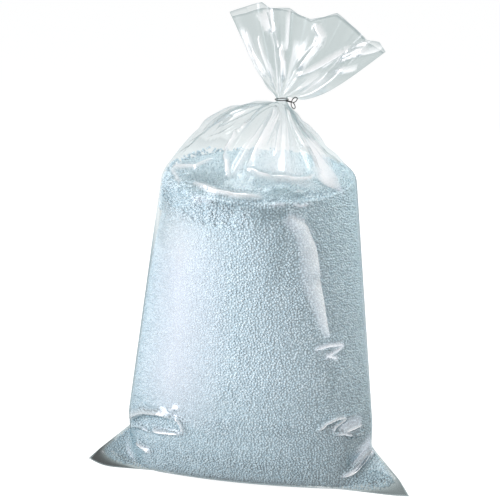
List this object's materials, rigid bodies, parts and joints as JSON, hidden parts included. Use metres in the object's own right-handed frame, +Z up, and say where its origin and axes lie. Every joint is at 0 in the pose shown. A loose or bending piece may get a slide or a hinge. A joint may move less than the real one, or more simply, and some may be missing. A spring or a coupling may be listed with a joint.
{
  "type": "bag of polystyrene beads",
  "caption": "Clear film bag full of loose white foam beads, sealed across the foot, gathered to a neck and closed by a twisted wire tie under a flared frill.",
  "frame": {"origin": "on the floor under the middle of the bag, on the underside of the film", "axes": "+Z up, X along the bottom seal with the frill leaning to +X, and the front facing -Y"},
  "size_m": [0.475, 0.334, 0.6821],
  "materials": {
    "film": "clear glossy polythene film",
    "beads": "white expanded foam beads",
    "wire": "black annealed wire"
  },
  "bodies": {
    "root": {"film_bag": "film", "bead_fill": "beads", "wire_tie": "wire"}
  },
  "joints": []
}
